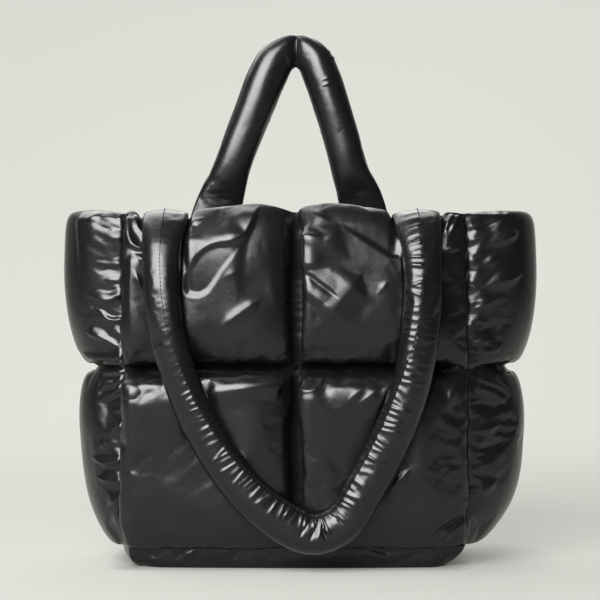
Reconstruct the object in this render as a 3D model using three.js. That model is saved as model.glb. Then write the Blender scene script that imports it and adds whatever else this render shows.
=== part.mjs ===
// A padded tote bag standing on its base: quilted front and back panels, puffed side gussets, a padded base,
// a long padded handle that hangs down the front and a short padded handle that stands up at the back.
// Millimetres, +Z up. The front faces -Y, and +X is to the right seen from the front.
// The origin is the middle of the base, on the floor.

import * as THREE from "three";

// Driving dimensions
const BASE_HEIGHT = 20; // padded base, from the floor to the seam that joins it to the walls
const ROW_SEAM_HEIGHT = 182; // quilting seam between the lower and the upper row of squares
const RIM_HEIGHT = 324; // sewn top edge of the walls
const EDGE_THICKNESS = 4; // a sewn edge: two fabrics with the filling pressed flat between them
const SEAM_GAP = 0.3; // clearance between neighbouring pieces
const PANEL_COLUMNS = 2; // quilted squares across the front and the back
const WALL_ROWS = 2; // rows of puffs up every wall
const INNER_PAD = 6; // how far the filling swells into the bag
const CORNER_BLEND = 16; // over this width a wall's facing turns to meet its neighbour's at the corner seam

// Puffs that roll up over the rim or hang over the base seam: degrees, and where they turn,
// counted in puffs up the wall
const PANEL_LIFT = { angle: 72, from: 1.5, to: 2 };
const GUSSET_LIFT = { angle: 16, from: 1.5, to: 2 };
const GUSSET_DROOP = { angle: -38, from: 0.4, to: 0 };
const NO_LEAN = { angle: 0, from: 0, to: 1 };

// Grid lines across one puff
const PANEL_STEPS_ACROSS = 10;
const GUSSET_STEPS_ACROSS = 12;
const PANEL_STEPS_UP = 11;
const GUSSET_STEPS_UP = 22;

// The sewn outline by height: the corner seams, and how far each side stands out between them
const BODY_SECTIONS = [
  { height: 20, halfWidth: 152, halfDepth: 60, leftBow: 6, rightBow: 5 },
  { height: 60, halfWidth: 156, halfDepth: 62, leftBow: 25, rightBow: 31 },
  { height: 120, halfWidth: 156, halfDepth: 64, leftBow: 32, rightBow: 40 },
  { height: 182, halfWidth: 156, halfDepth: 64, leftBow: 35, rightBow: 43 },
  { height: 250, halfWidth: 156, halfDepth: 62, leftBow: 35, rightBow: 42 },
  { height: 324, halfWidth: 155, halfDepth: 60, leftBow: 35, rightBow: 41 },
];
const FRONT_BOW = 3;

// A puff's profile: where it is highest, and how square it is before and after that
const PILLOW_SLOPE = 0.6; // how steeply a puff leaves its seam, less is steeper
const EVEN_PUFF = { peak: 0.5, before: 3, after: 3 };
const PANEL_TOP_PUFF = { peak: 0.5, before: 3, after: 4 };
const GUSSET_TOP_PUFF = { peak: 0.68, before: 2, after: 6 };

// How far a puff stands proud of its seams
const PANEL_PUFF = { lower: 26, upper: 28 };
const LEFT_PUFF = { lower: 17, upper: 28 };
const RIGHT_PUFF = { lower: 15, upper: 29 };

// The ruched seams of the side gussets: small folds that run in from the corner seams
const GATHERS = { perRow: 5, depth: 3, reach: 34, rise: 7, wander: 1.4, wanderPerRow: 1.6 };

// Folds and gathers fade out beside the seams: 1 over the share of a puff where they are at full strength
const FOLD_FADE = 2;
const GATHER_FADE = 3;

// Folds that show on the front, as ridges (rise above 0) and dents (below 0).
// Places are [across, height], with across measured to the right of the panel's middle seen from outside.
const FRONT_FOLDS = [
  { from: [-30, 318], to: [-84, 291], width: 13, rise: 5 },
  { from: [-50, 286], to: [-98, 268], width: 11, rise: -7 },
  { from: [-66, 262], to: [-98, 244], width: 9, rise: 5 },
  { from: [-34, 246], to: [-70, 222], width: 10, rise: 3.5 },
  { from: [12, 322], to: [36, 310], width: 9, rise: 4 },
  { from: [42, 308], to: [96, 280], width: 11, rise: -7 },
  { from: [14, 279], to: [54, 261], width: 9, rise: 4.5 },
  { from: [9, 263], to: [33, 239], width: 8, rise: 4 },
  { from: [80, 168], to: [52, 148], width: 8, rise: 2.5 },
  { from: [156, 48], to: [122, 26], width: 9, rise: -6 },
  { from: [4, 168], to: [26, 172], width: 7, rise: -4 },
];
const BACK_FOLDS = [
  { from: [-44, 312], to: [-92, 284], width: 12, rise: 4.5 },
  { from: [-56, 278], to: [-100, 254], width: 11, rise: -6 },
  { from: [46, 312], to: [94, 282], width: 12, rise: 4.5 },
  { from: [60, 276], to: [98, 252], width: 11, rise: -6 },
  { from: [-20, 150], to: [-62, 122], width: 10, rise: 3 },
  { from: [24, 146], to: [70, 112], width: 10, rise: 3 },
];
const LEFT_FOLDS = [
  { from: [56, 258], to: [20, 264], width: 8, rise: 4 },
  { from: [58, 240], to: [26, 246], width: 8, rise: -5 },
  { from: [58, 214], to: [16, 226], width: 9, rise: 5 },
  { from: [50, 196], to: [8, 198], width: 8, rise: -5 },
  { from: [58, 92], to: [28, 98], width: 9, rise: 4 },
];
const RIGHT_FOLDS = [
  { from: [-52, 286], to: [-8, 306], width: 9, rise: -5 },
  { from: [-50, 262], to: [-14, 272], width: 9, rise: 4 },
  { from: [-50, 240], to: [-16, 250], width: 8, rise: 3.5 },
  { from: [-48, 208], to: [-10, 222], width: 9, rise: -4 },
  { from: [-48, 112], to: [-12, 122], width: 9, rise: 3 },
];

// The long handle's centre line, from the rim over the front and back up to the rim
const FRONT_ROUTE = [
  [-119, -61.5, 313.4],
  [-119, -62, 318],
  [-119, -70, 323],
  [-119, -83, 315],
  [-120, -93, 296],
  [-120, -100, 270],
  [-119, -103, 247],
  [-115, -104, 217],
  [-104, -104, 179],
  [-84, -104, 133],
  [-58, -104, 91],
  [-24, -104, 56],
  [13, -104, 36],
  [41, -104, 46],
  [61, -104, 77],
  [79, -104, 112],
  [97, -104, 155],
  [105, -104, 183],
  [110, -103, 217],
  [112.5, -100, 261],
  [111.5, -93, 296],
  [109.5, -83, 315],
  [109, -70, 323],
  [109, -62, 318],
  [109, -61.5, 313.4],
];
// Its section, by the share of the length run: flat where it is sewn in, then a stuffed tube
const FRONT_TUBE = [
  { at: 0, width: 42, thickness: 6 },
  { at: 0.035, width: 41, thickness: 11 },
  { at: 0.08, width: 37, thickness: 24 },
  { at: 0.16, width: 34, thickness: 31 },
  { at: 0.34, width: 35, thickness: 31 },
  { at: 0.47, width: 38, thickness: 30 },
  { at: 0.53, width: 36, thickness: 29 },
  { at: 0.62, width: 37, thickness: 31 },
  { at: 0.84, width: 36, thickness: 31 },
  { at: 0.92, width: 38, thickness: 24 },
  { at: 0.965, width: 43, thickness: 11 },
  { at: 1, width: 44, thickness: 6 },
];
const FRONT_TUBE_STEPS = 56;

// The short handle's centre line: up from the back rim, bent sharply at its top and down again
const BACK_ROUTE = [
  [-80, 60, 324.4],
  [-78, 60, 334],
  [-69, 60, 359],
  [-57, 60, 393],
  [-39, 60, 440],
  [-30, 60, 462],
  [-18, 60, 481],
  [-0.5, 60, 489],
  [16, 60, 480],
  [26, 60, 461],
  [33, 60, 441],
  [44, 60, 405],
  [54, 60, 369],
  [64, 60, 339],
  [67, 60, 324.4],
];
const BACK_TUBE = [
  { at: 0, width: 52, thickness: 6 },
  { at: 0.05, width: 47, thickness: 12 },
  { at: 0.13, width: 41, thickness: 27 },
  { at: 0.25, width: 39, thickness: 34 },
  { at: 0.43, width: 38, thickness: 33 },
  { at: 0.505, width: 32, thickness: 27 },
  { at: 0.58, width: 36, thickness: 33 },
  { at: 0.76, width: 38, thickness: 34 },
  { at: 0.88, width: 41, thickness: 27 },
  { at: 0.95, width: 46, thickness: 12 },
  { at: 1, width: 50, thickness: 6 },
];
const BACK_TUBE_STEPS = 36;
const TUBE_SIDES = 12;
const TUBE_LEVEL_SHARE = 0.1; // share of its length over which a handle's section turns level with the rim

// Where the long handle crosses the rim the wall is pressed down, and its puffs are pressed flat under it
const RIM_DIP = { depth: 11, flatHalfWidth: 31, fade: 18 };
const HANDLE_PRESS = { width: 26, rimWidth: 54, onPuffs: 0.3, atRim: 1, rimZone: 60 };
const BACK_PRESS = { width: 34, atRim: 0.55, rimZone: 36 };

// The padded base: how far its side stands out from the wall seams at each height
const BASE_SECTIONS = [
  { height: 0, out: -6 },
  { height: 3, out: -1 },
  { height: 10, out: 2.5 },
  { height: 16, out: 3 },
  { height: 20, out: 2.2 },
];
const BASE_STEPS = { panel: 14, gusset: 8 };

const { clamp, lerp, smoothstep, degToRad } = THREE.MathUtils;

// Smooth values between the rows of a table, by the column named key
function tableCurve(rows, key) {
  const columns = Object.keys(rows[0]).filter((name) => name !== key);
  const curve = new THREE.CubicInterpolant(
    rows.map((row) => row[key]),
    rows.flatMap((row) => columns.map((name) => row[name])),
    columns.length,
  );
  const first = rows[0][key];
  const last = rows[rows.length - 1][key];
  return (at) => {
    const values = curve.evaluate(clamp(at, first, last));
    return Object.fromEntries(columns.map((name, i) => [name, values[i]]));
  };
}

const bodyAt = tableCurve(BODY_SECTIONS, "height");

// A puff's rise across one chamber: 0 at both seams, steep beside them and nearly flat between
function pillow(t, profile = EVEN_PUFF) {
  const early = t < profile.peak;
  const fromPeak = early ? 1 - t / profile.peak : (t - profile.peak) / (1 - profile.peak);
  return (1 - fromPeak ** (early ? profile.before : profile.after)) ** PILLOW_SLOPE;
}

// Grid lines over several chambers, closer together beside each seam
function gridLines(chambers, steps) {
  const lines = [];
  for (let i = 0; i < chambers * steps; i++) {
    const even = (i % steps) / steps;
    const eased = 0.5 - 0.5 * Math.cos(Math.PI * even);
    lines.push(Math.floor(i / steps) + (even + eased) / 2);
  }
  return [...lines, chambers];
}

// Distance from a point to a line through several points, all [across, height]
function distanceToLine([across, height], points) {
  let nearest = Infinity;
  for (let i = 1; i < points.length; i++) {
    const [x0, z0] = points[i - 1];
    const [x1, z1] = points[i];
    const length2 = (x1 - x0) ** 2 + (z1 - z0) ** 2;
    const share = ((across - x0) * (x1 - x0) + (height - z0) * (z1 - z0)) / length2;
    const t = clamp(share, 0, 1);
    nearest = Math.min(nearest, Math.hypot(across - lerp(x0, x1, t), height - lerp(z0, z1, t)));
  }
  return nearest;
}

function bell(distance, width) {
  return Math.exp(-((distance / width) ** 2));
}

function foldRise(folds, place) {
  return folds.reduce(
    (sum, fold) => sum + fold.rise * bell(distanceToLine(place, [fold.from, fold.to]), fold.width),
    0,
  );
}

// Rows of small folds beside both corner seams of a gusset; row is 0 to 2 up the wall
function gatherRise(fromSeam, row) {
  const start = smoothstep(fromSeam, 0, GATHERS.rise);
  const end = 1 - smoothstep(fromSeam, GATHERS.rise, GATHERS.reach);
  const wander = GATHERS.wander * Math.sin(2 * Math.PI * GATHERS.wanderPerRow * row);
  return GATHERS.depth * start * end * Math.sin(2 * Math.PI * GATHERS.perRow * row + wander);
}

const frontRouteFlat = FRONT_ROUTE.map(([x, , z]) => [x, z]);
const frontEnds = [FRONT_ROUTE[0][0], FRONT_ROUTE[FRONT_ROUTE.length - 1][0]];
const backEnds = [BACK_ROUTE[0][0], BACK_ROUTE[BACK_ROUTE.length - 1][0]];

// The share of a front puff's height that the long handle leaves
function frontPress([across, height]) {
  const { width, rimWidth, onPuffs, atRim, rimZone } = HANDLE_PRESS;
  const rim = smoothstep(height, RIM_HEIGHT - rimZone, RIM_HEIGHT);
  const near = bell(distanceToLine([across, height], frontRouteFlat), lerp(width, rimWidth, rim));
  return 1 - near * lerp(onPuffs, atRim, rim);
}

// The same for the back rim, where the short handle is sewn in
function backPress([across, height]) {
  const near = Math.max(...backEnds.map((x) => bell(-across - x, BACK_PRESS.width)));
  const rim = smoothstep(height, RIM_HEIGHT - BACK_PRESS.rimZone, RIM_HEIGHT);
  return 1 - near * BACK_PRESS.atRim * rim;
}

function noPress() {
  return 1;
}

function frontRim(across) {
  const dips = frontEnds.map((x) => {
    const away = Math.abs(across - x) - RIM_DIP.flatHalfWidth;
    return RIM_DIP.depth * (1 - smoothstep(away, 0, RIM_DIP.fade));
  });
  return RIM_HEIGHT - Math.max(...dips);
}

function levelRim() {
  return RIM_HEIGHT;
}

// The walls in order round the bag, each from the corner on its left to the corner on its right,
// seen from outside. side gives a corner as signs of half width and half depth.
const WALLS = [
  {
    name: "front_panel",
    side: [[-1, -1], [1, -1]],
    bow: () => FRONT_BOW,
    columns: PANEL_COLUMNS,
    stepsAcross: PANEL_STEPS_ACROSS,
    stepsUp: PANEL_STEPS_UP,
    puff: PANEL_PUFF,
    folds: FRONT_FOLDS,
    lift: PANEL_LIFT,
    droop: NO_LEAN,
    press: frontPress,
    rim: frontRim,
  },
  {
    name: "right_gusset",
    side: [[1, -1], [1, 1]],
    bow: (body) => body.rightBow,
    columns: 1,
    stepsAcross: GUSSET_STEPS_ACROSS,
    stepsUp: GUSSET_STEPS_UP,
    puff: RIGHT_PUFF,
    folds: RIGHT_FOLDS,
    lift: GUSSET_LIFT,
    droop: GUSSET_DROOP,
    press: noPress,
    rim: levelRim,
    gathered: true,
  },
  {
    name: "back_panel",
    side: [[1, 1], [-1, 1]],
    bow: () => FRONT_BOW,
    columns: PANEL_COLUMNS,
    stepsAcross: PANEL_STEPS_ACROSS,
    stepsUp: PANEL_STEPS_UP,
    puff: PANEL_PUFF,
    folds: BACK_FOLDS,
    lift: PANEL_LIFT,
    droop: NO_LEAN,
    press: backPress,
    rim: levelRim,
  },
  {
    name: "left_gusset",
    side: [[-1, 1], [-1, -1]],
    bow: (body) => body.leftBow,
    columns: 1,
    stepsAcross: GUSSET_STEPS_ACROSS,
    stepsUp: GUSSET_STEPS_UP,
    puff: LEFT_PUFF,
    folds: LEFT_FOLDS,
    lift: GUSSET_LIFT,
    droop: GUSSET_DROOP,
    press: noPress,
    rim: levelRim,
    gathered: true,
  },
];

// A point of a wall's sewn surface seen from above, its outward facing there and the wall's width;
// u runs from 0 to 1 across the wall
function wallLine(wall, u, height) {
  const body = bodyAt(height);
  const [start, end] = wall.side.map(
    ([signX, signY]) => new THREE.Vector2(signX * body.halfWidth, signY * body.halfDepth),
  );
  const chord = end.clone().sub(start);
  const width = chord.length();
  const out = new THREE.Vector2(chord.y, -chord.x).divideScalar(width);
  const bow = wall.bow(body);
  const point = start.clone().addScaledVector(chord, u).addScaledVector(out, bow * (1 - (2 * u - 1) ** 2));
  const tangent = chord.clone().addScaledVector(out, bow * (4 - 8 * u));
  const facing = new THREE.Vector2(tangent.y, -tangent.x).normalize();
  return { point, facing, width };
}

// The direction that both walls share at a corner seam, halfway between their facings
function cornerFacing(wall, atEnd, height) {
  const index = WALLS.indexOf(wall);
  const neighbour = WALLS[(index + (atEnd ? 1 : WALLS.length - 1)) % WALLS.length];
  const own = wallLine(wall, atEnd ? 1 : 0, height).facing;
  const other = wallLine(neighbour, atEnd ? 0 : 1, height).facing;
  return own.add(other).normalize();
}

// One side of a wall's padding: a point of its outer or inner face.
// u runs over the wall's columns and v over its rows, both counted in puffs.
function wallPoint(wall, u, v, outside) {
  const share = u / wall.columns;
  const acrossGuess = (share - 0.5) * 2 * bodyAt(ROW_SEAM_HEIGHT).halfWidth;
  const height =
    v <= 1
      ? lerp(BASE_HEIGHT + SEAM_GAP, ROW_SEAM_HEIGHT, v)
      : lerp(ROW_SEAM_HEIGHT, wall.rim(acrossGuess), v - 1);
  const { point, facing, width } = wallLine(wall, share, height);
  const across = (share - 0.5) * width;
  const fromSeam = width / 2 - Math.abs(across);
  const atEnd = share > 0.5;
  const corner = cornerFacing(wall, atEnd, height);
  const turn = 1 - smoothstep(fromSeam, 0, CORNER_BLEND);
  facing.lerp(corner, turn).normalize();
  if (u === 0 || u === wall.columns) {
    const inward = new THREE.Vector2(-corner.y, corner.x).multiplyScalar(atEnd ? -1 : 1);
    point.addScaledVector(inward, SEAM_GAP / 2);
  }

  const upper = v > 1;
  const column = pillow(clamp(u - Math.min(Math.floor(u), wall.columns - 1), 0, 1));
  const topPuff = wall.gathered ? GUSSET_TOP_PUFF : PANEL_TOP_PUFF;
  const row = upper ? pillow(clamp(v - 1, 0, 1), topPuff) : pillow(v);
  const sewn = column * row;
  const position = new THREE.Vector3(point.x, point.y, height);
  const outward = new THREE.Vector3(facing.x, facing.y, 0);
  if (!outside) {
    return position.addScaledVector(outward, -(EDGE_THICKNESS / 2 + INNER_PAD * sewn));
  }
  const puff = upper ? wall.puff.upper : wall.puff.lower;
  let rise = puff * sewn * wall.press([across, height]);
  rise += foldRise(wall.folds, [across, height]) * Math.min(FOLD_FADE * sewn, 1);
  if (wall.gathered) {
    rise += gatherRise(fromSeam, v) * Math.min(GATHER_FADE * row, 1);
  }
  const lean = upper ? wall.lift : wall.droop;
  const angle = degToRad(lean.angle * rangeShare(v, lean));
  position.addScaledVector(outward, EDGE_THICKNESS / 2 + rise * Math.cos(angle));
  position.z += rise * Math.sin(angle);
  return position;
}

// 0 before a range and 1 after it, smooth between; the range may run downwards
function rangeShare(value, { from, to }) {
  const share = clamp((value - from) / (to - from), 0, 1);
  return smoothstep(share, 0, 1);
}

// A closed solid from vertices and quads or triangles that wind anticlockwise seen from outside
function solid(vertices, faces) {
  const index = faces.flatMap((face) =>
    face.length === 4 ? [face[0], face[1], face[2], face[0], face[2], face[3]] : face,
  );
  const geometry = new THREE.BufferGeometry().setFromPoints(vertices).setIndex(index);
  geometry.computeVertexNormals();
  return geometry;
}

function paddedWall(wall) {
  const across = gridLines(wall.columns, wall.stepsAcross);
  const up = gridLines(WALL_ROWS, wall.stepsUp);
  const nu = across.length;
  const nv = up.length;
  const vertices = [];
  for (const outside of [true, false]) {
    for (const v of up) {
      for (const u of across) {
        vertices.push(wallPoint(wall, u, v, outside));
      }
    }
  }
  const outer = (i, j) => j * nu + i;
  const inner = (i, j) => nu * nv + j * nu + i;
  const faces = [];
  for (let j = 0; j < nv - 1; j++) {
    for (let i = 0; i < nu - 1; i++) {
      faces.push([outer(i, j), outer(i + 1, j), outer(i + 1, j + 1), outer(i, j + 1)]);
      faces.push([inner(i, j), inner(i, j + 1), inner(i + 1, j + 1), inner(i + 1, j)]);
    }
    faces.push([outer(0, j + 1), inner(0, j + 1), inner(0, j), outer(0, j)]);
    faces.push([outer(nu - 1, j), inner(nu - 1, j), inner(nu - 1, j + 1), outer(nu - 1, j + 1)]);
  }
  for (let i = 0; i < nu - 1; i++) {
    faces.push([outer(i, 0), inner(i, 0), inner(i + 1, 0), outer(i + 1, 0)]);
    faces.push([outer(i + 1, nv - 1), inner(i + 1, nv - 1), inner(i, nv - 1), outer(i, nv - 1)]);
  }
  return solid(vertices, faces);
}

// The base: its outline follows the foot of the walls, and its underside is flat
function paddedBase() {
  const vertices = [];
  const rings = BASE_SECTIONS.map(({ height, out }) => {
    const ring = [];
    for (const wall of WALLS) {
      const steps = wall.gathered ? BASE_STEPS.gusset : BASE_STEPS.panel;
      for (let i = 0; i < steps; i++) {
        const { point, facing } = wallLine(wall, i / steps, BASE_HEIGHT);
        const toward = i === 0 ? cornerFacing(wall, false, BASE_HEIGHT) : facing;
        point.addScaledVector(toward, out);
        ring.push(vertices.length);
        vertices.push(new THREE.Vector3(point.x, point.y, height));
      }
    }
    return ring;
  });
  const faces = [];
  rings.slice(1).forEach((ring, level) => {
    const below = rings[level];
    ring.forEach((vertex, i) => {
      const next = (i + 1) % ring.length;
      faces.push([below[i], below[next], ring[next], vertex]);
    });
  });
  const flat = (ring) => ring.map((vertex) => new THREE.Vector2(vertices[vertex].x, vertices[vertex].y));
  const top = rings[rings.length - 1];
  const bottom = rings[0];
  for (const [a, b, c] of THREE.ShapeUtils.triangulateShape(flat(top), [])) {
    faces.push([top[a], top[b], top[c]]);
  }
  for (const [a, b, c] of THREE.ShapeUtils.triangulateShape(flat(bottom), [])) {
    faces.push([bottom[a], bottom[c], bottom[b]]);
  }
  return solid(vertices, faces);
}

// A stuffed tube along a route.
// Its oval section starts with its width along X and turns no more than the route does.
function stuffedTube(route, sections, steps) {
  const curve = new THREE.CatmullRomCurve3(route.map((point) => new THREE.Vector3(...point)));
  const sectionAt = tableCurve(sections, "at");
  const vertices = [];
  const wide = new THREE.Vector3(1, 0, 0);
  for (let step = 0; step <= steps; step++) {
    const share = step / steps;
    const along = curve.getTangentAt(share);
    const fromEnd = Math.min(share, 1 - share);
    const upright = new THREE.Vector3(0, 0, share < 0.5 ? 1 : -1);
    along.lerp(upright, 1 - smoothstep(fromEnd, 0, TUBE_LEVEL_SHARE)).normalize();
    wide.addScaledVector(along, -wide.dot(along)).normalize();
    const thick = new THREE.Vector3().crossVectors(along, wide);
    const { width, thickness } = sectionAt(share);
    const centre = curve.getPointAt(share);
    for (let side = 0; side < TUBE_SIDES; side++) {
      const angle = (2 * Math.PI * side) / TUBE_SIDES;
      vertices.push(
        centre
          .clone()
          .addScaledVector(wide, (width / 2) * Math.cos(angle))
          .addScaledVector(thick, (thickness / 2) * Math.sin(angle)),
      );
    }
  }
  const at = (step, side) => step * TUBE_SIDES + (side % TUBE_SIDES);
  const faces = [];
  for (let step = 0; step < steps; step++) {
    for (let side = 0; side < TUBE_SIDES; side++) {
      faces.push([at(step, side), at(step, side + 1), at(step + 1, side + 1), at(step + 1, side)]);
    }
  }
  for (let side = 1; side < TUBE_SIDES - 1; side++) {
    faces.push([at(0, 0), at(0, side + 1), at(0, side)]);
    faces.push([at(steps, 0), at(steps, side), at(steps, side + 1)]);
  }
  return solid(vertices, faces);
}

const nylon = new THREE.MeshStandardMaterial({ color: 0x1d1b1c, roughness: 0.36, metalness: 0 });

const bag = new THREE.Group();

function addPiece(name, geometry) {
  const mesh = new THREE.Mesh(geometry, nylon.clone());
  mesh.name = name;
  bag.add(mesh);
}

for (const wall of WALLS) {
  addPiece(wall.name, paddedWall(wall));
}
addPiece("base_panel", paddedBase());
addPiece("front_handle", stuffedTube(FRONT_ROUTE, FRONT_TUBE, FRONT_TUBE_STEPS));
addPiece("back_handle", stuffedTube(BACK_ROUTE, BACK_TUBE, BACK_TUBE_STEPS));

export default bag;
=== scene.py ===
"""The looks of a black padded tote bag.

Its quilted walls and stuffed handles are blown up by cloth simulation from the sizes that the solids have.
"""

import math

import bpy
import numpy as np
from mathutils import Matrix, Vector


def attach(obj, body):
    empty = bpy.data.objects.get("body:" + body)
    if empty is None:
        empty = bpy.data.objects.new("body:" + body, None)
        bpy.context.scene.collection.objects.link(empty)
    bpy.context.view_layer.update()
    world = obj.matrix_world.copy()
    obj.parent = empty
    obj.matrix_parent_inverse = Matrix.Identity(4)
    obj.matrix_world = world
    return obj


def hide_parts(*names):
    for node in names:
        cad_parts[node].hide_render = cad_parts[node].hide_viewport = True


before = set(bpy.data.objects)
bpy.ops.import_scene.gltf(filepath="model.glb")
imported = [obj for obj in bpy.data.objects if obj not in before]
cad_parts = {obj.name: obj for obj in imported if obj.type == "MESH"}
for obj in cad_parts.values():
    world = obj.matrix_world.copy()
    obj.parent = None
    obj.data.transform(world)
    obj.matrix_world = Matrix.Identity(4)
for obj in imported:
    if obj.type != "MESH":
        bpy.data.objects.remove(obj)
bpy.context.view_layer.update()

MM = 0.001

# Sizes of the sewn form in millimetres, after those of the solids
BASE_HEIGHT = 20
ROW_SEAM_HEIGHT = 182
RIM_HEIGHT = 324
EDGE_THICKNESS = 4
PUFF_SIDE = 150
ROWS = 2
SEAM_GAP = 0.3
SEAM_LIP = 0.7
INNER_PAD = 8
CORNER_BLEND = 16
BASE_ENDS = dict(width=30, left=dict(inset=11, power=3.6), right=dict(inset=22, power=1.6))
PANEL_BOW = 6
PILLOW_SLOPE = 0.6

BODY_SECTIONS = [
    dict(height=20, half_width=152, half_depth=60, left_bow=9, right_bow=5),
    dict(height=60, half_width=156, half_depth=62, left_bow=22, right_bow=31),
    dict(height=120, half_width=156, half_depth=64, left_bow=31, right_bow=42),
    dict(height=182, half_width=156, half_depth=64, left_bow=35, right_bow=44),
    dict(height=250, half_width=156, half_depth=62, left_bow=35, right_bow=42),
    dict(height=324, half_width=155, half_depth=60, left_bow=35, right_bow=41),
]
EVEN_PUFF = dict(peak=0.5, before=4, after=4)
PANEL_COLUMN = dict(peak=0.5, before=24, after=4)
PANEL_LOW_PUFF = dict(peak=0.5, before=5, after=10)
PANEL_TOP_PUFF = dict(peak=0.5, before=4, after=4)
GUSSET_TOP_PUFF = dict(peak=0.66, before=2, after=7)
GUSSET_LOW_PUFF = dict(peak=0.45, before=9, after=3)
GUSSET_ACROSS = dict(peak=0.5, before=3.2, after=3.2, slope=0.9)
PANEL_LIFT = dict(angle=72, start=1.63, end=2)
GUSSET_LIFT = dict(angle=16, start=1.5, end=2)
GUSSET_DROOP = dict(angle=-48, start=0.4, end=0)
PANEL_DROOP = dict(angle=-40, start=0.35, end=0)

FRONT_ROUTE = [
    (-119, -50, 298), (-119, -52, 311), (-119, -58, 320), (-119, -69, 323), (-119, -83, 315),
    (-120, -93, 296), (-120, -100, 270), (-119, -103, 247), (-115, -104, 217), (-104, -104, 179),
    (-84, -104, 133), (-58, -104, 91), (-24, -104, 56), (13, -104, 36), (41, -104, 46), (61, -104, 77),
    (79, -104, 112), (97, -104, 155), (105, -104, 183), (110, -103, 217), (112.5, -100, 261),
    (111.5, -93, 296), (109.5, -83, 315), (109, -69, 323), (109, -58, 320), (109, -52, 311), (109, -50, 298),
]
FRONT_TUBE = [
    dict(at=0, width=42, thickness=5),
    dict(at=0.04, width=42, thickness=8),
    dict(at=0.07, width=41, thickness=14),
    dict(at=0.105, width=37, thickness=25),
    dict(at=0.17, width=34, thickness=31),
    dict(at=0.34, width=35, thickness=31),
    dict(at=0.47, width=38, thickness=30),
    dict(at=0.53, width=36, thickness=29),
    dict(at=0.62, width=37, thickness=31),
    dict(at=0.83, width=36, thickness=31),
    dict(at=0.895, width=38, thickness=25),
    dict(at=0.93, width=43, thickness=14),
    dict(at=0.96, width=45, thickness=8),
    dict(at=1, width=45, thickness=5),
]
BACK_ROUTE = [
    (-80, 60, 324.4), (-78, 60, 334), (-69, 60, 359), (-57, 60, 393), (-39, 60, 440),
    (-30, 60, 463), (-18, 60, 483.5), (-0.5, 60, 492), (16, 60, 482.5), (26, 60, 462),
    (33, 60, 441), (44, 60, 405), (54, 60, 369), (64, 60, 339), (67, 60, 324.4),
]
BACK_TUBE = [
    dict(at=0, width=52, thickness=6),
    dict(at=0.05, width=47, thickness=12),
    dict(at=0.13, width=41, thickness=27),
    dict(at=0.25, width=39, thickness=34),
    dict(at=0.43, width=38, thickness=33),
    dict(at=0.505, width=32, thickness=27),
    dict(at=0.58, width=36, thickness=33),
    dict(at=0.76, width=38, thickness=34),
    dict(at=0.88, width=41, thickness=27),
    dict(at=0.95, width=46, thickness=12),
    dict(at=1, width=50, thickness=6),
]
RIM_DIP = dict(depth=9, flat_half_width=20, fade=7)
RIM_SWELL = dict(at=33, width=26, height=4.5)
GUSSET_RIM = dict(rise=4, power=4)
HANDLE_PRESS = dict(width=22, rim_width=24, on_puffs=0.08, at_rim=0.9, rim_zone=40)
BACK_PRESS = dict(width=34, at_rim=0.55, rim_zone=36)

BASE_SECTIONS = [
    dict(height=0, out=-1.2),
    dict(height=3, out=0.2),
    dict(height=9, out=1.6),
    dict(height=14, out=2.3),
    dict(height=20, out=2.6),
]

# How the fabric is simulated
SIM_FRAMES = 24
START_PUFF = 0.85
TUBE_START = 0.97
PANEL_STEPS = (120, 120)
GUSSET_STEPS = (60, 140)
BASE_STEPS = dict(panel=150, gusset=60, rows=14)
TUBE_SIDES = 32
FRONT_TUBE_STEPS = 280
BACK_TUBE_STEPS = 160
LEAST_WEIGHT = 1e-4
CLOTH = dict(
    quality=4, mass=0.3, air_damping=2, tension_stiffness=15, compression_stiffness=15, shear_stiffness=8,
    tension_damping=8, compression_damping=8, shear_damping=8, use_pressure=True, pressure_factor=0,
)
# The filling's push, the spare share of length in general and where gathered, and the bending stiffness
PANEL_FABRIC = dict(pressure=14, spare=0.008, gathered=0.3, bending=0.05)
GUSSET_FABRIC = dict(pressure=14, spare=0.012, gathered=0.18, bending=0.05)
TUBE_FABRIC = dict(pressure=8, spare=0.004, gathered=0.35, bending=0.02)
BASE_FABRIC = dict(pressure=2, spare=0.004, gathered=0.004, bending=0.05)
# Where it is gathered: distances from a corner seam, a panel's rows, and a tube's seam and tight bends
PANEL_GATHER = dict(near=6, far=30, rows=(1.5, 1.8))
GUSSET_GATHER = dict(near=4, far=40)
TUBE_GATHER = dict(turn=0.75, strength=0.55, from_end=(0.02, 0.08), bend_start=0.9, bend_limit=0.35)
TUBE_PINNED_RINGS = 3

# How the settled fabric is sewn and finished
SEAM_SINK = -0.5
ON_SEAM = 0.01
PANEL_FREE = 5
GUSSET_FREE = 3
BASE_FREE = 4
TUBE_CUT = dict(round=110, step=2.5)
BASE_CUT = dict(round=860, tall=30)
STITCH = dict(pitch=3.6, length=2.6, thickness=0.8, lift=0.5, from_end=14, sides=8, rings=7, thinnest=0.02)
PUCKER = dict(
    pitch=(4, 8.5), width=(1.2, 2.4), height=(0.4, 1.5), reach=(0.7, 1.5), slant=3, fade=0.8, from_end=40,
)
STRAP_CLEARANCE = 0.4
STRAP_MARGIN = 1
STRAP_OUTSIDE = -72
STRAP_STEPS = 400
FOLD_ROUNDING = 0.32
FOLD_FADE = 0.5
DENT_EDGE = (-0.1, 0.9)
CORNER_CUTS = 3
RUCHE = dict(
    lowest=30, highest=318, pitch=(5, 13), length=(9, 30), tilt=0.22, rise=(0.2, 0.8), flank=(1.8, 3.6),
    seam=BODY_SECTIONS[3]["half_width"],
)
SEAM_GROOVE = dict(depth=6, width=3, from_border=24)
SEAM_WAVE = dict(side=1.1, side_phase=1.0, out=0.4, out_phase=2.7, row=1.0, row_phase=4.1, row_width=0.12)
RIPPLES = [dict(length=5.3, phase=1), dict(length=3.1, phase=2), dict(length=8.7, phase=-1)]
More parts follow.
